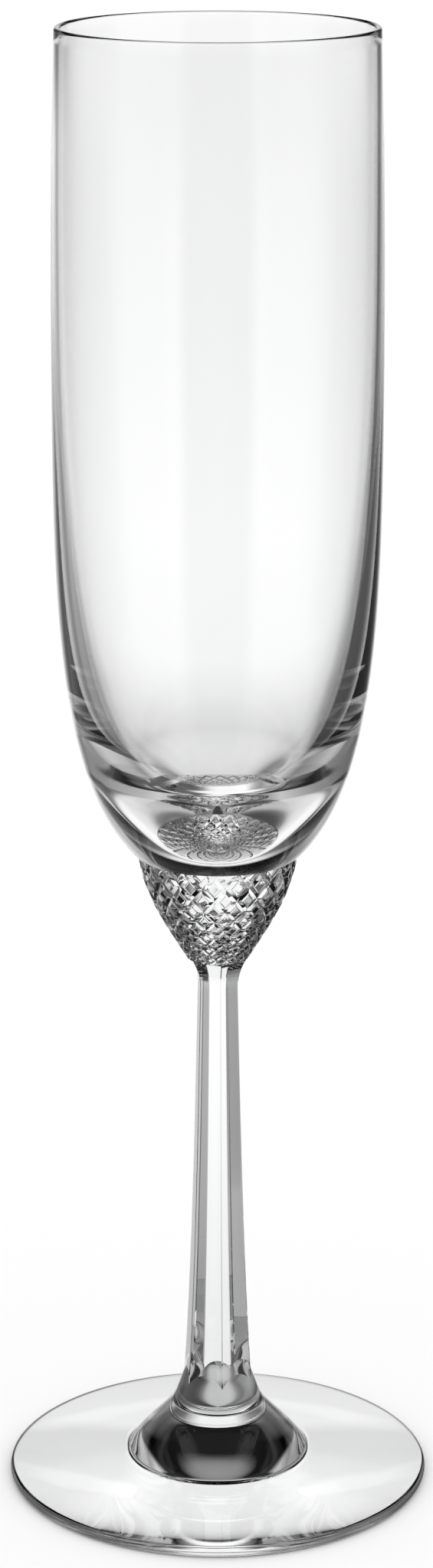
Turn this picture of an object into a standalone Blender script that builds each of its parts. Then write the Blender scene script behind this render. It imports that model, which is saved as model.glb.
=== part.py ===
"""A champagne flute in clear crystal, as four glass pieces stacked on one axis.

From the top: a blown bowl with a thick solid bottom, a knop cut all over with diamonds, a
six-sided stem and a flared foot. Lengths are in metres, +Z is up, and the origin is on the
axis, on the surface that the foot rests on. A pull is how far a curve's handle reaches from
its end, as (out from the axis, up).
"""

import math

import bmesh
import bpy

# Clearance between two pieces that are joined face to face
JOINT_GAP = 0.0003

# Radius that the foot's flare and the stem's root share where they are joined
FOOT_JOINT_RADIUS = 0.0075

# Foot: a disc with a raised boss that flares up to the stem, hollowed a little underneath
FOOT_RADIUS = 0.03485
FOOT_EDGE_THICKNESS = 0.0018
FOOT_HEIGHT = 0.0125
FLARE_TOP_PULL = (0.0009, -0.0017)
BOSS_RADIUS = 0.0148
BOSS_RIM_HEIGHT = 0.0042
BOSS_RIM_PULL = (-0.0014, 0.0024)
BOSS_FILLET_WIDTH = 0.0018
DISC_INNER_HEIGHT = 0.0036
RESTING_RING_WIDTH = 0.0064
FOOT_HOLLOW_DEPTH = 0.0009
FOOT_HOLLOW_PULL = 0.0110

# Stem: a six-sided shaft whose flats run out in arches on a round, spreading root
STEM_LENGTH = 0.0775
ROOT_INSET = 0.00010
ROOT_TOP_PULL = (0.0008, -0.0009)
ROOT_BOTTOM_PULL = (-0.0010, 0.0019)
STEM_FLATS = 6
STEM_TURN_DEGREES = 7.5
STEM_TOP_APOTHEM = 0.0044
STEM_TOP_PULL = (-0.00085, -0.0016)
NECK_APOTHEM = 0.00307
NECK_DROP = 0.0050
NECK_UPPER_PULL = (0.0, 0.0018)
NECK_LOWER_PULL = (0.00044, -0.022)
SHAFT_FOOT_APOTHEM = 0.00515
SHAFT_FOOT_HEIGHT = 0.0058
SHAFT_FOOT_PULL = (-0.0012, 0.021)
FLAT_SPLAY = 0.0003
ARRIS_SHARE = 0.988

# Knop: a short cone cut with crossing grooves, which leave rows of diamonds
KNOP_HEIGHT = 0.0172
KNOP_TOP_RADIUS = 0.0129
KNOP_TOP_PULL = (-0.00084, -0.0070)
KNOP_BOTTOM_PULL = (0.0030, 0.0050)
DIAMONDS_ROUND = 20
DIAMOND_HALF_ROWS = 11
GROOVE_DEPTH = 0.0004

# Bowl: a tall tulip whose thin wall thickens into a solid bottom
BOWL_HEIGHT = 0.1319
BOWL_OVERHANG = 0.0002
BOWL_BASE_PULL = (0.0129, 0.0119)
BELLY_RADIUS = 0.02605
BELLY_HEIGHT = 0.0759
BELLY_LOWER_PULL = (0.0, -0.0326)
BELLY_UPPER_PULL = (0.0, 0.0179)
RIM_RADIUS = 0.02515
RIM_PULL = (0.00059, -0.0180)
RIM_WALL = 0.0010
INNER_BELLY_WALL = 0.0012
INNER_BELLY_HEIGHT = 0.0919
INNER_BELLY_LOWER_PULL = (0.0, -0.0480)
INNER_BELLY_UPPER_PULL = (0.0, 0.0130)
INNER_HEEL_RADIUS = 0.0136
INNER_HEEL_HEIGHT = 0.0146
INNER_HEEL_DEGREES = 42.0
INNER_HEEL_UPPER_REACH = 0.0100
INNER_HEEL_LOWER_REACH = 0.0052
SOLID_BOTTOM = 0.0042
INNER_BOTTOM_PULL = (0.0053, 0.0)

# How finely round shapes are divided, and the small flat that closes them on the axis
COLUMNS = 48
COLUMNS_PER_FLAT = 8
CENTRE_RADIUS = 0.0015

# Sizes and heights that follow from those above
FLAT_CORNER = 1 / math.cos(math.pi / STEM_FLATS)
KNOP_BOTTOM_RADIUS = STEM_TOP_APOTHEM * FLAT_CORNER
BOWL_BASE_RADIUS = KNOP_TOP_RADIUS + BOWL_OVERHANG
STEM_BOTTOM = FOOT_HEIGHT + JOINT_GAP
KNOP_BOTTOM = STEM_BOTTOM + STEM_LENGTH + JOINT_GAP
BOWL_BOTTOM = KNOP_BOTTOM + KNOP_HEIGHT + JOINT_GAP


def moved(point, pull):
    return (point[0] + pull[0], point[1] + pull[1])


def sloped(degrees, reach):
    """A pull that rises at an angle as it goes outwards."""
    angle = math.radians(degrees)
    return (reach * math.cos(angle), reach * math.sin(angle))


def curve(start, start_pull, end_pull, end, steps):
    """Points along a cubic curve from start to end, both included."""
    corners = (start, moved(start, start_pull), moved(end, end_pull), end)
    points = []
    for step in range(steps + 1):
        t = step / steps
        weights = ((1 - t) ** 3, 3 * t * (1 - t) ** 2, 3 * t * t * (1 - t), t**3)
        out = sum(weight * corner[0] for weight, corner in zip(weights, corners))
        up = sum(weight * corner[1] for weight, corner in zip(weights, corners))
        points.append((out, up))
    return points


def arc(centre, radius, first_degrees, last_degrees, steps):
    """Points along a circular arc, both ends included."""
    points = []
    for step in range(steps + 1):
        angle = math.radians(first_degrees + (last_degrees - first_degrees) * step / steps)
        points.append(moved(centre, (radius * math.cos(angle), radius * math.sin(angle))))
    return points


def radius_at(outline, height):
    """The radius of an outline that runs downwards, at a height."""
    for (upper_out, upper_up), (lower_out, lower_up) in zip(outline, outline[1:]):
        if upper_up >= height >= lower_up:
            share = (upper_up - height) / (upper_up - lower_up)
            return upper_out + share * (lower_out - upper_out)
    return outline[0][0] if height > outline[0][1] else outline[-1][0]


def crystal(name):
    material = bpy.data.materials.new(name)
    material.use_nodes = True
    shader = material.node_tree.nodes["Principled BSDF"]
    shader.inputs["Base Color"].default_value = (0.97, 0.98, 0.98, 1.0)
    shader.inputs["Metallic"].default_value = 0.0
    shader.inputs["Roughness"].default_value = 0.02
    shader.inputs["IOR"].default_value = 1.54
    shader.inputs["Transmission Weight"].default_value = 1.0
    return material


def smooth_band(mesh, upper, lower, row):
    """Quads between two rings."""
    count = len(upper)
    for here in range(count):
        after = (here + 1) % count
        mesh.faces.new((upper[here], lower[here], lower[after], upper[after]))


def diamond_band(mesh, upper, lower, row):
    """Triangles between two rings, split along the grooves, so that each diamond is a pyramid."""
    count = len(upper)
    for here in range(count):
        after = (here + 1) % count
        if (row + here) % 2 == 0:
            mesh.faces.new((upper[here], lower[here], lower[after]))
            mesh.faces.new((upper[here], lower[after], upper[after]))
        else:
            mesh.faces.new((upper[here], lower[here], upper[after]))
            mesh.faces.new((upper[after], lower[here], lower[after]))


def closed_stack(name, rings, band, sharp_degrees):
    """One closed piece from rings of (x, y, z), top first, with a flat fan over each end."""
    mesh = bmesh.new()
    loops = [[mesh.verts.new(corner) for corner in ring] for ring in rings]
    count = len(loops[0])
    for row in range(len(loops) - 1):
        band(mesh, loops[row], loops[row + 1], row)
    for loop in (loops[0], loops[-1]):
        middle = mesh.verts.new((0.0, 0.0, loop[0].co.z))
        for here in range(count):
            mesh.faces.new((loop[here], loop[(here + 1) % count], middle))
    bmesh.ops.recalc_face_normals(mesh, faces=mesh.faces)
    data = bpy.data.meshes.new(name)
    mesh.to_mesh(data)
    mesh.free()
    data.shade_smooth()
    data.set_sharp_from_angle(angle=math.radians(sharp_degrees))
    data.materials.append(crystal(name + "_crystal"))
    piece = bpy.data.objects.new(name, data)
    bpy.context.collection.objects.link(piece)
    return piece


def turned(outline):
    """Rings of an outline turned about the axis."""
    rings = []
    for radius, height in outline:
        ring = []
        for column in range(COLUMNS):
            angle = 2 * math.pi * column / COLUMNS
            ring.append((radius * math.cos(angle), radius * math.sin(angle), height))
        rings.append(ring)
    return rings


def make_foot():
    edge_radius = FOOT_EDGE_THICKNESS / 2
    edge_centre = (FOOT_RADIUS - edge_radius, edge_radius)
    resting_inner = (edge_centre[0] - RESTING_RING_WIDTH, 0.0)
    hollow_top = (CENTRE_RADIUS, FOOT_HOLLOW_DEPTH)
    inwards = (-FOOT_HOLLOW_PULL, 0.0)
    outwards = (FOOT_HOLLOW_PULL, 0.0)
    outline = curve(
        (FOOT_JOINT_RADIUS, FOOT_HEIGHT),
        FLARE_TOP_PULL,
        BOSS_RIM_PULL,
        (BOSS_RADIUS, BOSS_RIM_HEIGHT),
        8,
    )
    disc_inner = (BOSS_RADIUS + BOSS_FILLET_WIDTH, DISC_INNER_HEIGHT)
    half_fillet = BOSS_FILLET_WIDTH / 2
    outline += curve(outline[-1], (0.0003, -0.0005), (-half_fillet, 0.0001), disc_inner, 3)[1:]
    outline += arc(edge_centre, edge_radius, 90, -90, 6)
    outline += curve(resting_inner, inwards, outwards, hollow_top, 5)
    return closed_stack("foot", turned(outline), smooth_band, 35)


def flat_line():
    """How far a flat lies from the axis, from the stem's top down to past its arched end."""
    top = (STEM_TOP_APOTHEM, STEM_LENGTH)
    neck = (NECK_APOTHEM, STEM_LENGTH - NECK_DROP)
    shaft_foot = (SHAFT_FOOT_APOTHEM, SHAFT_FOOT_HEIGHT)
    line = curve(top, STEM_TOP_PULL, NECK_UPPER_PULL, neck, 4)
    line += curve(neck, NECK_LOWER_PULL, SHAFT_FOOT_PULL, shaft_foot, 11)[1:]
    line.append((SHAFT_FOOT_APOTHEM + FLAT_SPLAY, 0.0))
    return line


def arch_height(flats, root, spread):
    """Where a flat meets the round root. Spread is the radius there over the flat's apothem."""
    low = 0.0
    high = SHAFT_FOOT_HEIGHT
    for _ in range(30):
        middle = (low + high) / 2
        if radius_at(flats, middle) * spread > radius_at(root, middle):
            high = middle
        else:
            low = middle
    return (low + high) / 2


def make_stem():
    flats = flat_line()
    shaft = [point for point in flats if point[1] >= SHAFT_FOOT_HEIGHT]
    root_top = (SHAFT_FOOT_APOTHEM - ROOT_INSET, SHAFT_FOOT_HEIGHT)
    root = curve(root_top, ROOT_TOP_PULL, ROOT_BOTTOM_PULL, (FOOT_JOINT_RADIUS, 0.0), 12)
    columns = STEM_FLATS * COLUMNS_PER_FLAT
    half_flat = math.pi / STEM_FLATS
    run_out_rows = 2
    root_rows = 5
    rings = [[] for _ in range(len(shaft) + run_out_rows + root_rows + 1)]
    for column in range(columns):
        turn = 2 * math.pi * column / columns - math.pi / 2 + math.radians(STEM_TURN_DEGREES)
        from_middle = 2 * half_flat * (column % COLUMNS_PER_FLAT) / COLUMNS_PER_FLAT - half_flat
        spread = min(1 / math.cos(from_middle), FLAT_CORNER * ARRIS_SHARE)
        end = arch_height(flats, root, spread)
        line = [(apothem * spread, height) for apothem, height in shaft]
        for row in range(1, run_out_rows + 1):
            height = SHAFT_FOOT_HEIGHT + (end - SHAFT_FOOT_HEIGHT) * row / (run_out_rows + 1)
            line.append((radius_at(flats, height) * spread, height))
        for row in range(root_rows + 1):
            height = end * (1 - row / root_rows)
            line.append((radius_at(root, height), height))
        for ring, (radius, height) in zip(rings, line):
            ring.append((radius * math.cos(turn), radius * math.sin(turn), STEM_BOTTOM + height))
    return closed_stack("stem", rings, smooth_band, 12)


def make_knop():
    """Diamonds keep one shape, so each row's height follows the radius that it lies on."""
    top = (KNOP_TOP_RADIUS, KNOP_HEIGHT)
    bottom = (KNOP_BOTTOM_RADIUS, 0.0)
    outline = curve(top, KNOP_TOP_PULL, KNOP_BOTTOM_PULL, bottom, 60)
    turns_down = [0.0]
    for (upper_out, upper_up), (lower_out, lower_up) in zip(outline, outline[1:]):
        slant = math.hypot(upper_out - lower_out, upper_up - lower_up)
        turns_down.append(turns_down[-1] + slant / ((upper_out + lower_out) / 2))
    rings = []
    for row in range(DIAMOND_HALF_ROWS + 1):
        wanted = turns_down[-1] * row / DIAMOND_HALF_ROWS
        place = min(range(len(outline)), key=lambda index: abs(turns_down[index] - wanted))
        radius, height = outline[place]
        at_end = row in (0, DIAMOND_HALF_ROWS)
        depth = 0.0 if at_end else GROOVE_DEPTH * radius / KNOP_TOP_RADIUS
        ring = []
        for column in range(2 * DIAMONDS_ROUND):
            angle = math.pi * column / DIAMONDS_ROUND
            in_groove = (row + column) % 2 == 0
            reach = radius - depth if in_groove else radius
            ring.append((reach * math.cos(angle), reach * math.sin(angle), KNOP_BOTTOM + height))
        rings.append(ring)
    return closed_stack("knop", rings, diamond_band, 5)


def make_bowl():
    lip_radius = RIM_WALL / 2
    lip_centre = (RIM_RADIUS - lip_radius, BOWL_HEIGHT - lip_radius)
    outer_rim = (RIM_RADIUS, lip_centre[1])
    inner_rim = (RIM_RADIUS - RIM_WALL, lip_centre[1])
    belly = (BELLY_RADIUS, BELLY_HEIGHT)
    base = (BOWL_BASE_RADIUS, 0.0)
    inner_belly = (BELLY_RADIUS - INNER_BELLY_WALL, INNER_BELLY_HEIGHT)
    inner_bottom = (CENTRE_RADIUS, SOLID_BOTTOM)
    rim_inner_pull = (RIM_PULL[0], -INNER_BELLY_UPPER_PULL[1])
    heel = (INNER_HEEL_RADIUS, INNER_HEEL_HEIGHT)
    inwards = sloped(INNER_HEEL_DEGREES, -INNER_HEEL_LOWER_REACH)
    outwards = sloped(INNER_HEEL_DEGREES, INNER_HEEL_UPPER_REACH)
    inside = curve(inner_bottom, INNER_BOTTOM_PULL, inwards, heel, 7)
    inside += curve(heel, outwards, INNER_BELLY_LOWER_PULL, inner_belly, 11)[1:]
    inside += curve(inner_belly, INNER_BELLY_UPPER_PULL, rim_inner_pull, inner_rim, 6)[1:]
    outside = curve(outer_rim, RIM_PULL, BELLY_UPPER_PULL, belly, 7)
    outside += curve(belly, BELLY_LOWER_PULL, BOWL_BASE_PULL, base, 14)[1:]
    outline = inside + arc(lip_centre, lip_radius, 180, 0, 6)[1:-1] + outside
    raised = [(radius, BOWL_BOTTOM + height) for radius, height in outline]
    return closed_stack("bowl", turned(raised), smooth_band, 35)


for leftover in list(bpy.data.objects):
    bpy.data.objects.remove(leftover, do_unlink=True)

make_foot()
make_stem()
make_knop()
make_bowl()
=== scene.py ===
"""A champagne flute in clear cut crystal, standing on a white table against a white backdrop.

The sections follow the glass as it is joined in the workshop: the foot, the stem, the knop, the
bowl, then the table, the camera and the studio. Lengths are in metres.
"""

import math

import bmesh
import bpy
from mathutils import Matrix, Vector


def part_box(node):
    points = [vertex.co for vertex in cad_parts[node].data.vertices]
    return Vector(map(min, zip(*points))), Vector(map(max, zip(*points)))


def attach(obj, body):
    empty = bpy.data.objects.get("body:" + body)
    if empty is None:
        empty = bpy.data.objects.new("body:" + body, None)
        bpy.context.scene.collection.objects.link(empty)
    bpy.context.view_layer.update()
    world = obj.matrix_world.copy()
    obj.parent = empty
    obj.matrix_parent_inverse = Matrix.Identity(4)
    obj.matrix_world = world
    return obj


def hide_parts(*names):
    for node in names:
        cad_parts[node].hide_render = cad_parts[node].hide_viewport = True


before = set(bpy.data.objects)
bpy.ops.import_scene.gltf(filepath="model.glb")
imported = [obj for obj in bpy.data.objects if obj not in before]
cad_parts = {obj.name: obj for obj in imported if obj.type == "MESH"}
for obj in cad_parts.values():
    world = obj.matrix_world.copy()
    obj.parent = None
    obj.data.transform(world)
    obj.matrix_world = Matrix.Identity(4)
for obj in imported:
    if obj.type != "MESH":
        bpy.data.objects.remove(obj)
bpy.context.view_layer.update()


# ---------------------------------------------------------------------------------------- foot
# A gather of hot crystal pressed into a disc and spun flat, with a boss at its centre that
# flares up to take the stem. Its edge is fire-polished, and it rests on a ring near the edge.

FOOT_RADIUS = 0.03485
FOOT_EDGE_THICKNESS = 0.0018
FOOT_JOINT_RADIUS = 0.0075
BOSS_RADIUS = 0.0148
BOSS_RIM_HEIGHT = 0.0042
BOSS_TOP_PULL = (0.0009, -0.0017)
BOSS_RIM_PULL = (-0.0014, 0.0024)
BOSS_FILLET_WIDTH = 0.0018
FILLET_TOP_PULL = (0.0003, -0.0005)
FILLET_END_RISE = 0.0001
DISC_INNER_HEIGHT = 0.0036
RESTING_RING_WIDTH = 0.0064
FOOT_HOLLOW_DEPTH = 0.0009
FOOT_HOLLOW_PULL = 0.0110
AXIS_HOLE = 0.0004
# Two joined pieces meet in a hairline, in the middle of the gap that their solids keep.
HAIRLINE = 0.00001
TURNED_COLUMNS = 192
CRYSTAL_INDEX = 1.54
PRESSED_CRYSTAL = (0.985, 0.99, 0.99)


def curve(start, start_pull, end_pull, end, steps):
    """Points of (radius, height) along a cubic curve, whose handles reach by the two pulls."""
    corners = (
        start,
        (start[0] + start_pull[0], start[1] + start_pull[1]),
        (end[0] + end_pull[0], end[1] + end_pull[1]),
        end,
    )
    points = []
    for step in range(steps + 1):
        t = step / steps
        weights = ((1 - t) ** 3, 3 * t * (1 - t) ** 2, 3 * t * t * (1 - t), t**3)
        out = sum(weight * corner[0] for weight, corner in zip(weights, corners))
        up = sum(weight * corner[1] for weight, corner in zip(weights, corners))
        points.append((out, up))
    return points


def arc(centre, radius, first_degrees, last_degrees, steps):
    """Points of (radius, height) along a circular arc."""
    points = []
    for step in range(steps + 1):
        angle = math.radians(first_degrees + (last_degrees - first_degrees) * step / steps)
        points.append((centre[0] + radius * math.cos(angle), centre[1] + radius * math.sin(angle)))
    return points


def turned(outline, columns):
    """Rings of (x, y, z) from an outline turned about the axis, top first."""
    angles = [2 * math.pi * column / columns for column in range(columns)]
    return [[(out * math.cos(a), out * math.sin(a), up) for a in angles] for out, up in outline]


def smooth_band(mesh, upper, lower, row):
    for here in range(len(upper)):
        after = (here + 1) % len(upper)
        mesh.faces.new((upper[here], lower[here], lower[after], upper[after]))


def glass_piece(name, rings, band, materials, joined_top, joined_bottom, smooth_degrees):
    """One closed piece from its rings. An end that is joined to the next piece takes the second material."""
    mesh = bmesh.new()
    loops = [[mesh.verts.new(corner) for corner in ring] for ring in rings]
    for row in range(len(loops) - 1):
        band(mesh, loops[row], loops[row + 1], row)
    for loop, joined in ((loops[0], joined_top), (loops[-1], joined_bottom)):
        end = mesh.faces.new(loop)
        end.material_index = 1 if joined else 0
    bmesh.ops.recalc_face_normals(mesh, faces=mesh.faces)
    data = bpy.data.meshes.new(name)
    mesh.to_mesh(data)
    mesh.free()
    data.shade_smooth()
    data.set_sharp_from_angle(angle=math.radians(smooth_degrees))
    for material in materials:
        data.materials.append(material)
    piece = bpy.data.objects.new(name, data)
    bpy.context.collection.objects.link(piece)
    return piece


def polish_group():
    """Polished crystal's surface: slow waves left by the hot tool, fine grain, and dull specks."""
    group = bpy.data.node_groups.new("crystal_polish", "ShaderNodeTree")
    for name, default in (
        ("Wave Size", 0.012),
        ("Wave Height", 0.00002),
        ("Wave Stretch", 1.0),
        ("Grain Height", 0.0000003),
        ("Clean Roughness", 0.0),
        ("Dull Roughness", 0.02),
    ):
        socket = group.interface.new_socket(name, in_out="INPUT", socket_type="NodeSocketFloat")
        socket.default_value = default
    group.interface.new_socket("Roughness", in_out="OUTPUT", socket_type="NodeSocketFloat")
    group.interface.new_socket("Height", in_out="OUTPUT", socket_type="NodeSocketFloat")
    nodes, links = group.nodes, group.links
    given = nodes.new("NodeGroupInput")
    made = nodes.new("NodeGroupOutput")
    place = nodes.new("ShaderNodeTexCoord")
    per_wave = nodes.new("ShaderNodeMath")
    per_wave.operation = "DIVIDE"
    per_wave.inputs[0].default_value = 1.0
    links.new(given.outputs["Wave Size"], per_wave.inputs[1])
    stretch = nodes.new("ShaderNodeCombineXYZ")
    stretch.inputs["X"].default_value = 1.0
    stretch.inputs["Y"].default_value = 1.0
    links.new(given.outputs["Wave Stretch"], stretch.inputs["Z"])
    drawn = nodes.new("ShaderNodeVectorMath")
    drawn.operation = "DIVIDE"
    links.new(place.outputs["Object"], drawn.inputs[0])
    links.new(stretch.outputs["Vector"], drawn.inputs[1])
    waves = nodes.new("ShaderNodeTexNoise")
    waves.inputs["Detail"].default_value = 1.0
    links.new(drawn.outputs["Vector"], waves.inputs["Vector"])
    links.new(per_wave.outputs["Value"], waves.inputs["Scale"])
    wave_height = nodes.new("ShaderNodeMath")
    wave_height.operation = "MULTIPLY"
    links.new(waves.outputs["Fac"], wave_height.inputs[0])
    links.new(given.outputs["Wave Height"], wave_height.inputs[1])
    grain = nodes.new("ShaderNodeTexNoise")
    grain.inputs["Scale"].default_value = 2500.0
    grain.inputs["Detail"].default_value = 2.0
    links.new(place.outputs["Object"], grain.inputs["Vector"])
    grain_height = nodes.new("ShaderNodeMath")
    grain_height.operation = "MULTIPLY"
    links.new(grain.outputs["Fac"], grain_height.inputs[0])
    links.new(given.outputs["Grain Height"], grain_height.inputs[1])
    height = nodes.new("ShaderNodeMath")
    height.operation = "ADD"
    links.new(wave_height.outputs["Value"], height.inputs[0])
    links.new(grain_height.outputs["Value"], height.inputs[1])
    links.new(height.outputs["Value"], made.inputs["Height"])
    specks = nodes.new("ShaderNodeTexNoise")
    specks.inputs["Scale"].default_value = 700.0
    specks.inputs["Detail"].default_value = 3.0
    links.new(place.outputs["Object"], specks.inputs["Vector"])
    dull = nodes.new("ShaderNodeMapRange")
    dull.inputs["From Min"].default_value = 0.60
    dull.inputs["From Max"].default_value = 0.80
    links.new(specks.outputs["Fac"], dull.inputs["Value"])
    links.new(given.outputs["Clean Roughness"], dull.inputs["To Min"])
    links.new(given.outputs["Dull Roughness"], dull.inputs["To Max"])
    links.new(dull.outputs["Result"], made.inputs["Roughness"])
    return group


crystal_polish = polish_group()


def crystal(name, tint, wave_size, wave_height, wave_stretch, dull_roughness):
    """Clear glass, which lets light through to the table instead of casting a solid shadow."""
    material = bpy.data.materials.new(name)
    material.use_nodes = True
    nodes, links = material.node_tree.nodes, material.node_tree.links
    shader = nodes["Principled BSDF"]
    shader.inputs["Base Color"].default_value = (*tint, 1.0)
    shader.inputs["Metallic"].default_value = 0.0
    shader.inputs["IOR"].default_value = CRYSTAL_INDEX
    shader.inputs["Transmission Weight"].default_value = 1.0
    polish = nodes.new("ShaderNodeGroup")
    polish.node_tree = crystal_polish
    polish.inputs["Wave Size"].default_value = wave_size
    polish.inputs["Wave Height"].default_value = wave_height
    polish.inputs["Wave Stretch"].default_value = wave_stretch
    polish.inputs["Dull Roughness"].default_value = dull_roughness
    links.new(polish.outputs["Roughness"], shader.inputs["Roughness"])
    bump = nodes.new("ShaderNodeBump")
    bump.inputs["Distance"].default_value = 1.0
    links.new(polish.outputs["Height"], bump.inputs["Height"])
    links.new(bump.outputs["Normal"], shader.inputs["Normal"])
    path = nodes.new("ShaderNodeLightPath")
    clear = nodes.new("ShaderNodeBsdfTransparent")
    seen = nodes.new("ShaderNodeMixShader")
    links.new(path.outputs["Is Shadow Ray"], seen.inputs["Fac"])
    links.new(shader.outputs["BSDF"], seen.inputs[1])
    links.new(clear.outputs["BSDF"], seen.inputs[2])
    links.new(seen.outputs["Shader"], nodes["Material Output"].inputs["Surface"])
    return material


def fused_joint():
    """Where two hot pieces have run together there is no surface left to see."""
    material = bpy.data.materials.new("fused_joint")
    material.use_nodes = True
    shader = material.node_tree.nodes["Principled BSDF"]
    shader.inputs["Alpha"].default_value = 0.0
    shader.inputs["Roughness"].default_value = 0.0
    return material


joint_face = fused_joint()
foot_top = (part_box("foot")[1].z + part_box("stem")[0].z) / 2 - HAIRLINE
edge_radius = FOOT_EDGE_THICKNESS / 2
boss_rim = (BOSS_RADIUS, BOSS_RIM_HEIGHT)
disc_inner = (BOSS_RADIUS + BOSS_FILLET_WIDTH, DISC_INNER_HEIGHT)
fillet_end_pull = (-BOSS_FILLET_WIDTH / 2, FILLET_END_RISE)
foot_outline = curve((FOOT_JOINT_RADIUS, foot_top), BOSS_TOP_PULL, BOSS_RIM_PULL, boss_rim, 40)
foot_outline += curve(boss_rim, FILLET_TOP_PULL, fillet_end_pull, disc_inner, 12)[1:]
foot_outline += arc((FOOT_RADIUS - edge_radius, edge_radius), edge_radius, 90, -90, 16)
foot_outline += curve(
    (FOOT_RADIUS - edge_radius - RESTING_RING_WIDTH, 0.0),
    (-FOOT_HOLLOW_PULL, 0.0),
    (FOOT_HOLLOW_PULL, 0.0),
    (AXIS_HOLE, FOOT_HOLLOW_DEPTH),
    24,
)
foot_crystal = crystal(
    "foot_crystal",
    PRESSED_CRYSTAL,
    wave_size=0.016,
    wave_height=0.00003,
    wave_stretch=1.0,
    dull_roughness=0.03,
)
foot = glass_piece(
    "foot_pressed",
    turned(foot_outline, TURNED_COLUMNS),
    smooth_band,
    (foot_crystal, joint_face),
    joined_top=True,
    joined_bottom=False,
    smooth_degrees=30,
)
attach(foot, "root")
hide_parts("foot")


# ---------------------------------------------------------------------------------------- stem
# A column drawn from the same batch, with a spreading root. Six flats are ground down its
# length on a wheel and polished; each flat runs out in an arch on the round root.

STEM_FLATS = 6
STEM_TURN = math.radians(7.5)
ROOT_INSET = 0.00010
ROOT_TOP_PULL = (0.0008, -0.0009)
ROOT_BOTTOM_PULL = (-0.0010, 0.0019)
STEM_TOP_APOTHEM = 0.0044
STEM_TOP_PULL = (-0.00085, -0.0016)
NECK_APOTHEM = 0.00307
NECK_DROP = 0.0050
NECK_UPPER_PULL = (0.0, 0.0018)
NECK_LOWER_PULL = (0.00044, -0.022)
SHAFT_FOOT_APOTHEM = 0.00515
SHAFT_FOOT_HEIGHT = 0.0058
SHAFT_FOOT_PULL = (-0.0012, 0.021)
FLAT_SPLAY = 0.0003
# Polishing rounds an arris off to this share of the corner that two flats would make.
ARRIS_SHARE = 0.988
FLAT_CORNER = 1 / math.cos(math.pi / STEM_FLATS)
# Columns across one flat, as shares of its width: close together at the two arrises.
FLAT_COLUMNS = (0.0, 0.0201, 0.06, 0.12, 0.2, 0.3, 0.4, 0.5, 0.6, 0.7, 0.8, 0.88, 0.94, 0.9799)


def radius_at(outline, height):
    for (upper_out, upper_up), (lower_out, lower_up) in zip(outline, outline[1:]):
        if upper_up >= height >= lower_up:
            share = (upper_up - height) / (upper_up - lower_up)
            return upper_out + share * (lower_out - upper_out)
    return outline[0][0] if height > outline[0][1] else outline[-1][0]


def arch_height(flats, root, spread):
    """Where a flat meets the round root. Spread is the radius there over the flat's apothem."""
    low, high = 0.0, SHAFT_FOOT_HEIGHT
    for _ in range(30):
        middle = (low + high) / 2
        if radius_at(flats, middle) * spread > radius_at(root, middle):
            high = middle
        else:
            low = middle
    return (low + high) / 2


def stem_rings(bottom, top):
    length = top - bottom
    neck = (NECK_APOTHEM, length - NECK_DROP)
    shaft_foot = (SHAFT_FOOT_APOTHEM, SHAFT_FOOT_HEIGHT)
    shaft = curve((STEM_TOP_APOTHEM, length), STEM_TOP_PULL, NECK_UPPER_PULL, neck, 20)
    shaft += curve(neck, NECK_LOWER_PULL, SHAFT_FOOT_PULL, shaft_foot, 48)[1:]
    flats = shaft + [(SHAFT_FOOT_APOTHEM + FLAT_SPLAY, 0.0)]
    root_top = (SHAFT_FOOT_APOTHEM - ROOT_INSET, SHAFT_FOOT_HEIGHT)
    root = curve(root_top, ROOT_TOP_PULL, ROOT_BOTTOM_PULL, (FOOT_JOINT_RADIUS, 0.0), 40)
    run_out_rows, root_rows = 6, 24
    rings = [[] for _ in range(len(shaft) + run_out_rows + root_rows + 1)]
    flat_angle = 2 * math.pi / STEM_FLATS
    for flat in range(STEM_FLATS):
        for across in FLAT_COLUMNS:
            turn = flat_angle * (flat + across) - math.pi / 2 + STEM_TURN
            spread = min(1 / math.cos(flat_angle * (across - 0.5)), FLAT_CORNER * ARRIS_SHARE)
            end = arch_height(flats, root, spread)
            line = [(apothem * spread, up) for apothem, up in shaft]
            for row in range(1, run_out_rows + 1):
                up = SHAFT_FOOT_HEIGHT + (end - SHAFT_FOOT_HEIGHT) * row / (run_out_rows + 1)
                line.append((radius_at(flats, up) * spread, up))
            for row in range(root_rows + 1):
                up = end * (1 - row / root_rows)
                line.append((radius_at(root, up), up))
            for ring, (out, up) in zip(rings, line):
                ring.append((out * math.cos(turn), out * math.sin(turn), bottom + up))
    return rings


stem_bottom = foot_top + 2 * HAIRLINE
stem_top = (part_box("stem")[1].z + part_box("knop")[0].z) / 2 - HAIRLINE
stem_crystal = crystal(
    "stem_crystal",
    PRESSED_CRYSTAL,
    wave_size=0.010,
    wave_height=0.00001,
    wave_stretch=4.0,
    dull_roughness=0.02,
)
stem = glass_piece(
    "stem_faceted",
    stem_rings(stem_bottom, stem_top),
    smooth_band,
    (stem_crystal, joint_face),
    joined_top=True,
    joined_bottom=True,
    smooth_degrees=14,
)
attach(stem, "root")
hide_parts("stem")


# ---------------------------------------------------------------------------------------- knop
# A short cone of crystal between the stem and the bowl, cut all over on a mitred wheel. Two
# sets of slanting grooves cross and leave rows of four-sided points, polished in acid.

KNOP_TOP_RADIUS = 0.0129
KNOP_TOP_PULL = (-0.00084, -0.0070)
KNOP_BOTTOM_PULL = (0.0030, 0.0050)
DIAMONDS_ROUND = 20
DIAMOND_HALF_ROWS = 11
GROOVE_DEPTH = 0.00034
# Mesh steps across half a diamond, and how many of them the side of a groove takes.
HALF_DIAMOND_STEPS = 6
GROOVE_STEPS = 3
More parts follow.
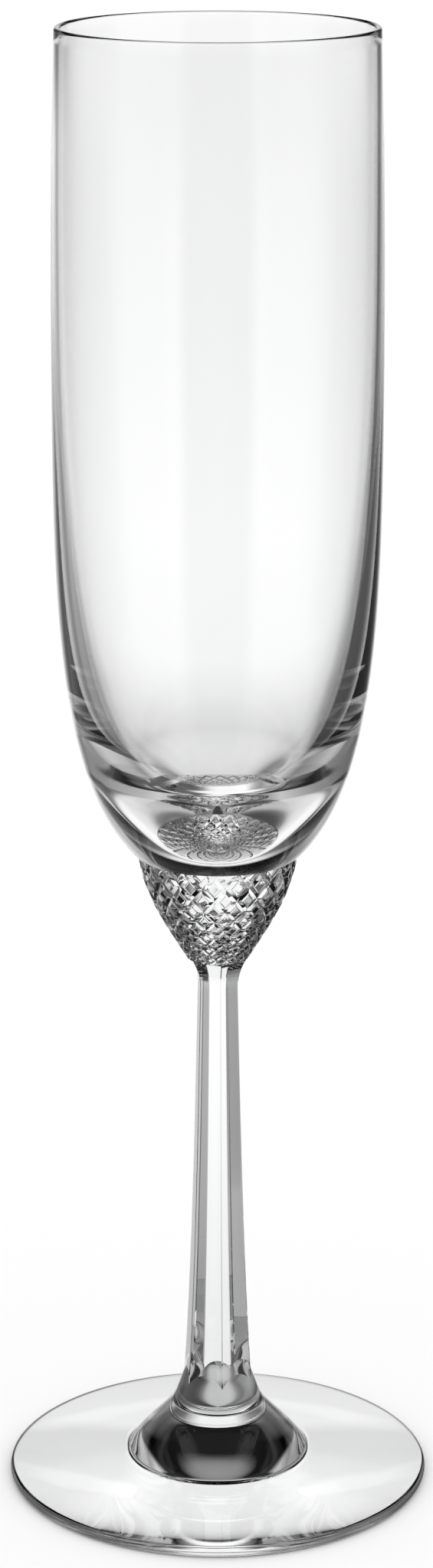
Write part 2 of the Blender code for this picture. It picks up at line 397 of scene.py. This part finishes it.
# The grooves grow shallow in the last rows' worth of the cone, at either end.
GROOVE_RUN_OUT = 0.4
KNOP_TURN = math.radians(3)


def from_groove(across, down):
    """Distances from the nearest groove of each set: 0 in the groove, 1 in the middle of a diamond."""
    first, second = (across + down) / 2, (across - down) / 2
    return 2 * abs(first - round(first)), 2 * abs(second - round(second))


def knop_rings(bottom, top):
    """Diamonds keep one shape, so each row's height follows the radius that it lies on."""
    knop_end = (STEM_TOP_APOTHEM * FLAT_CORNER, bottom)
    outline = curve((KNOP_TOP_RADIUS, top), KNOP_TOP_PULL, KNOP_BOTTOM_PULL, knop_end, 1200)
    turns_down = [0.0]
    for (upper_out, upper_up), (lower_out, lower_up) in zip(outline, outline[1:]):
        slant = math.hypot(upper_out - lower_out, upper_up - lower_up)
        turns_down.append(turns_down[-1] + slant / ((upper_out + lower_out) / 2))
    rings = []
    place = 0
    for row in range(DIAMOND_HALF_ROWS * HALF_DIAMOND_STEPS + 1):
        down = row / HALF_DIAMOND_STEPS
        wanted = turns_down[-1] * down / DIAMOND_HALF_ROWS
        while place < len(outline) - 1 and turns_down[place + 1] <= wanted + 1e-9:
            place += 1
        radius, height = outline[place]
        run_out = min(1.0, down / GROOVE_RUN_OUT, (DIAMOND_HALF_ROWS - down) / GROOVE_RUN_OUT)
        depth = GROOVE_DEPTH * run_out * radius / KNOP_TOP_RADIUS
        ring = []
        for column in range(2 * DIAMONDS_ROUND * HALF_DIAMOND_STEPS):
            across = column / HALF_DIAMOND_STEPS
            nearest = min(from_groove(across, down)) * HALF_DIAMOND_STEPS / GROOVE_STEPS
            reach = radius - depth * max(0.0, 1.0 - nearest)
            angle = math.pi * across / DIAMONDS_ROUND - KNOP_TURN
            ring.append((reach * math.cos(angle), reach * math.sin(angle), height))
        rings.append(ring)
    return rings


def diamond_band(mesh, upper, lower, row):
    """Triangles split along the nearest groove, so that its edges and its bottom stay crisp."""
    for here in range(len(upper)):
        after = (here + 1) % len(upper)
        across, down = (here + 0.5) / HALF_DIAMOND_STEPS, (row + 0.5) / HALF_DIAMOND_STEPS
        first, second = from_groove(across, down)
        if second < first:
            mesh.faces.new((upper[here], lower[here], lower[after]))
            mesh.faces.new((upper[here], lower[after], upper[after]))
        else:
            mesh.faces.new((upper[here], lower[here], upper[after]))
            mesh.faces.new((upper[after], lower[here], lower[after]))


knop_bottom = stem_top + 2 * HAIRLINE
knop_top = (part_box("knop")[1].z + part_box("bowl")[0].z) / 2 - HAIRLINE
knop_crystal = crystal(
    "knop_crystal",
    PRESSED_CRYSTAL,
    wave_size=0.004,
    wave_height=0.00001,
    wave_stretch=1.0,
    dull_roughness=0.03,
)
knop = glass_piece(
    "knop_diamond_cut",
    knop_rings(knop_bottom, knop_top),
    diamond_band,
    (knop_crystal, joint_face),
    joined_top=True,
    joined_bottom=True,
    smooth_degrees=28,
)
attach(knop, "root")
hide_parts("knop")


# ---------------------------------------------------------------------------------------- bowl
# Blown thin in a turning mould, so its wall swells towards a solid bottom that is fused to the
# knop. The rim is cracked off, ground level and melted round in a flame.

BOWL_OVERHANG = 0.0002
BELLY_RADIUS = 0.02605
BELLY_HEIGHT = 0.0759
RIM_RADIUS = 0.02515
RIM_WALL = 0.0010
INNER_BELLY_WALL = 0.0012
INNER_BELLY_HEIGHT = 0.0919
INNER_HEEL_RADIUS = 0.0136
INNER_HEEL_HEIGHT = 0.0146
INNER_HEEL_SLOPE = math.radians(42.0)
SOLID_BOTTOM = 0.0042
# How far each curve of the wall reaches towards the next, which sets how full it is.
INNER_BOTTOM_REACH = 0.0064
HEEL_INWARD_REACH = 0.0052
HEEL_OUTWARD_REACH = 0.0100
INNER_BELLY_DOWN = (0.0, -0.0480)
INNER_BELLY_UP = (0.0, 0.0130)
INNER_RIM_PULL = (0.00059, -0.0130)
RIM_PULL = (0.00059, -0.0180)
BELLY_UP = (0.0, 0.0179)
BELLY_DOWN = (0.0, -0.0326)
BOWL_END_PULL = (0.0129, 0.0119)
BLOWN_CRYSTAL = (0.99, 0.992, 0.992)


def bowl_outline(bottom, top):
    lip = RIM_WALL / 2
    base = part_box("bowl")[0].z
    belly = (BELLY_RADIUS, base + BELLY_HEIGHT)
    inner_belly = (BELLY_RADIUS - INNER_BELLY_WALL, base + INNER_BELLY_HEIGHT)
    heel = (INNER_HEEL_RADIUS, base + INNER_HEEL_HEIGHT)
    inner_rim = (RIM_RADIUS - RIM_WALL, top - lip)
    bowl_end = (KNOP_TOP_RADIUS + BOWL_OVERHANG, bottom)
    outward, upward = math.cos(INNER_HEEL_SLOPE), math.sin(INNER_HEEL_SLOPE)
    heel_inward = (-HEEL_INWARD_REACH * outward, -HEEL_INWARD_REACH * upward)
    heel_outward = (HEEL_OUTWARD_REACH * outward, HEEL_OUTWARD_REACH * upward)
    line = curve((AXIS_HOLE, base + SOLID_BOTTOM), (INNER_BOTTOM_REACH, 0.0), heel_inward, heel, 36)
    line += curve(heel, heel_outward, INNER_BELLY_DOWN, inner_belly, 64)[1:]
    line += curve(inner_belly, INNER_BELLY_UP, INNER_RIM_PULL, inner_rim, 20)[1:]
    line += arc((RIM_RADIUS - lip, top - lip), lip, 180, 0, 14)[1:-1]
    line += curve((RIM_RADIUS, top - lip), RIM_PULL, BELLY_UP, belly, 28)
    line += curve(belly, BELLY_DOWN, BOWL_END_PULL, bowl_end, 72)[1:]
    return line


bowl_bottom = knop_top + 2 * HAIRLINE
bowl_crystal = crystal(
    "bowl_crystal",
    BLOWN_CRYSTAL,
    wave_size=0.020,
    wave_height=0.00002,
    wave_stretch=3.0,
    dull_roughness=0.02,
)
bowl = glass_piece(
    "bowl_blown",
    turned(bowl_outline(bowl_bottom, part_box("bowl")[1].z), TURNED_COLUMNS),
    smooth_band,
    (bowl_crystal, joint_face),
    joined_top=False,
    joined_bottom=True,
    smooth_degrees=30,
)
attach(bowl, "root")
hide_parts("bowl")


# --------------------------------------------------------------------------------------- table
# A plain white laminate that runs far enough back to meet the backdrop out of sight.

TABLE_HALF_WIDTH = 30.0
TABLE_WHITE = (0.92, 0.92, 0.92, 1.0)


def white_table():
    mesh = bmesh.new()
    corners = [(-1, -1), (1, -1), (1, 1), (-1, 1)]
    mesh.faces.new([mesh.verts.new((x * TABLE_HALF_WIDTH, y * TABLE_HALF_WIDTH, 0.0)) for x, y in corners])
    data = bpy.data.meshes.new("white_table")
    mesh.to_mesh(data)
    mesh.free()
    material = bpy.data.materials.new("white_laminate")
    material.use_nodes = True
    shader = material.node_tree.nodes["Principled BSDF"]
    shader.inputs["Base Color"].default_value = TABLE_WHITE
    shader.inputs["Roughness"].default_value = 1.0
    shader.inputs["Specular IOR Level"].default_value = 0.0
    data.materials.append(material)
    table = bpy.data.objects.new("white_table", data)
    bpy.context.collection.objects.link(table)
    return table


table = white_table()


# -------------------------------------------------------------------------------------- camera
# A long lens a little above the rim, looking down on the glass.

LENS_MILLIMETRES = 95.39
CAMERA_PLACE = (-0.0002, -0.6426, 0.3027)
# From straight down, so that 90 degrees would look level.
CAMERA_TILT_DEGREES = 74.085

camera_data = bpy.data.cameras.new("camera")
camera_data.lens = LENS_MILLIMETRES
camera_data.sensor_width = 36.0
camera = bpy.data.objects.new("camera", camera_data)
camera.location = CAMERA_PLACE
camera.rotation_euler = (math.radians(CAMERA_TILT_DEGREES), 0.0, 0.0)
bpy.context.collection.objects.link(camera)
bpy.context.scene.camera = camera


# -------------------------------------------------------------------------------------- studio
# Bright-field lighting, as glass is photographed: a white tent, open behind the glass and shaded
# at its sides, overhead and in front. It stands still, and only glass sees it.

TENT_RADIUS = 4.0
ROOM_BRIGHTNESS = 1.12
# Brightness round the glass, at angles in degrees from straight behind it, left to right. The
# first list is for below the glass's horizon, the second just above it, the third for the top.
TENT_LOW_ROUND = (
    (-180, 0.10),
    (-158, 0.12),
    (-150, 0.60),
    (-140, 0.45),
    (-110, 0.40),
    (-90, 0.17),
    (-60, 0.20),
    (-45, 0.40),
    (-37, 0.45),
    (-31, 0.28),
    (-26, 0.42),
    (-21, 0.82),
    (-16, 1.00),
    (11, 0.98),
    (16, 0.80),
    (21, 0.34),
    (26, 0.15),
    (31, 0.10),
    (60, 0.10),
    (90, 0.20),
    (105, 0.60),
    (150, 0.60),
    (158, 0.12),
    (180, 0.10),
)
TENT_MIDDLE_ROUND = (
    (-180, 0.10),
    (-120, 0.30),
    (-90, 0.50),
    (-75, 0.60),
    (-60, 0.35),
    (-50, 0.22),
    (-40, 0.60),
    (-33, 0.55),
    (-27, 0.15),
    (-17, 0.12),
    (-12, 0.55),
    (-8, 1.00),
    (8, 1.00),
    (12, 0.60),
    (17, 0.12),
    (27, 0.12),
    (33, 0.70),
    (40, 0.70),
    (47, 0.30),
    (55, 0.50),
    (70, 0.65),
    (90, 0.50),
    (120, 0.40),
    (180, 0.10),
)
TENT_TOP_ROUND = (
    (-180, 0.10),
    (-120, 0.30),
    (-80, 0.35),
    (-60, 0.15),
    (-40, 0.20),
    (-30, 0.50),
    (-20, 0.95),
    (-8, 1.10),
    (8, 1.10),
    (20, 0.95),
    (30, 0.50),
    (40, 0.20),
    (60, 0.30),
    (80, 0.45),
    (120, 0.30),
    (180, 0.10),
)
# Heights in degrees between which each list gives way to the next.
TENT_MIDDLE_STARTS = (-4, 0)
TENT_TOP_STARTS = (17, 20)
# Brightness at angles in degrees above the horizon: a dark bar parts the top from the middle.
TENT_UP = (
    (-90, 0.50),
    (-45, 0.62),
    (-34, 0.84),
    (-26, 0.93),
    (-23, 1.00),
    (-19, 1.10),
    (-14, 1.12),
    (-7, 1.06),
    (0, 1.00),
    (18, 1.00),
    (20.5, 0.01),
    (25.5, 0.01),
    (27, 0.22),
    (31, 0.35),
    (33, 1.00),
    (35, 1.10),
    (37, 0.00),
    (90, 0.00),
)


def brightness_ramp(nodes, stops, low, high):
    ramp = nodes.new("ShaderNodeValToRGB")
    elements = ramp.color_ramp.elements
    while len(elements) < len(stops):
        elements.new(0.5)
    for element, (place, brightness) in zip(elements, stops):
        element.position = (place - low) / (high - low)
        element.color = (brightness, brightness, brightness, 1.0)
    return ramp


def to_share(nodes, links, radians, low, high):
    """Turns an angle in radians into its share of a span in degrees."""
    share = nodes.new("ShaderNodeMapRange")
    share.inputs["From Min"].default_value = math.radians(low)
    share.inputs["From Max"].default_value = math.radians(high)
    links.new(radians, share.inputs["Value"])
    return share.outputs["Result"]


def tent_cloth():
    material = bpy.data.materials.new("tent_cloth")
    material.use_nodes = True
    nodes, links = material.node_tree.nodes, material.node_tree.links
    nodes.remove(nodes["Principled BSDF"])
    place = nodes.new("ShaderNodeTexCoord")
    ray = nodes.new("ShaderNodeVectorMath")
    ray.operation = "NORMALIZE"
    links.new(place.outputs["Object"], ray.inputs[0])
    parts = nodes.new("ShaderNodeSeparateXYZ")
    links.new(ray.outputs["Vector"], parts.inputs["Vector"])
    around = nodes.new("ShaderNodeMath")
    around.operation = "ARCTAN2"
    links.new(parts.outputs["X"], around.inputs[0])
    links.new(parts.outputs["Y"], around.inputs[1])
    upward = nodes.new("ShaderNodeMath")
    upward.operation = "ARCSINE"
    links.new(parts.outputs["Z"], upward.inputs[0])
    round_share = to_share(nodes, links, around.outputs["Value"], -180, 180)
    low_ramp = brightness_ramp(nodes, TENT_LOW_ROUND, -180, 180)
    links.new(round_share, low_ramp.inputs["Fac"])
    so_far = low_ramp.outputs["Color"]
    for stops, heights in ((TENT_MIDDLE_ROUND, TENT_MIDDLE_STARTS), (TENT_TOP_ROUND, TENT_TOP_STARTS)):
        next_ramp = brightness_ramp(nodes, stops, -180, 180)
        links.new(round_share, next_ramp.inputs["Fac"])
        change = nodes.new("ShaderNodeMix")
        change.data_type = "RGBA"
        links.new(to_share(nodes, links, upward.outputs["Value"], *heights), change.inputs["Factor"])
        links.new(so_far, change.inputs["A"])
        links.new(next_ramp.outputs["Color"], change.inputs["B"])
        so_far = change.outputs["Result"]
    up_ramp = brightness_ramp(nodes, TENT_UP, -90, 90)
    links.new(to_share(nodes, links, upward.outputs["Value"], -90, 90), up_ramp.inputs["Fac"])
    both = nodes.new("ShaderNodeMix")
    both.data_type = "RGBA"
    both.blend_type = "MULTIPLY"
    both.inputs["Factor"].default_value = 1.0
    links.new(so_far, both.inputs["A"])
    links.new(up_ramp.outputs["Color"], both.inputs["B"])
    glow = nodes.new("ShaderNodeEmission")
    links.new(both.outputs["Result"], glow.inputs["Color"])
    links.new(glow.outputs["Emission"], nodes["Material Output"].inputs["Surface"])
    return material


def light_tent():
    mesh = bmesh.new()
    bmesh.ops.create_icosphere(mesh, subdivisions=4, radius=TENT_RADIUS)
    data = bpy.data.meshes.new("light_tent")
    mesh.to_mesh(data)
    mesh.free()
    data.materials.append(tent_cloth())
    tent = bpy.data.objects.new("light_tent", data)
    bpy.context.collection.objects.link(tent)
    tent.visible_camera = False
    tent.visible_diffuse = False
    tent.visible_shadow = False


light_tent()
# The glass is shown against the tent alone, so it doesn't see the table.
table.visible_transmission = False
table.visible_glossy = False


def white_room():
    world = bpy.data.worlds.new("white_room")
    world.use_nodes = True
    background = world.node_tree.nodes["Background"]
    background.inputs["Color"].default_value = (1.0, 1.0, 1.0, 1.0)
    background.inputs["Strength"].default_value = ROOM_BRIGHTNESS
    bpy.context.scene.world = world


white_room()
scene = bpy.context.scene
scene.view_settings.view_transform = "Standard"
scene.cycles.max_bounces = 32
scene.cycles.transmission_bounces = 32
scene.cycles.glossy_bounces = 12
scene.cycles.transparent_max_bounces = 32
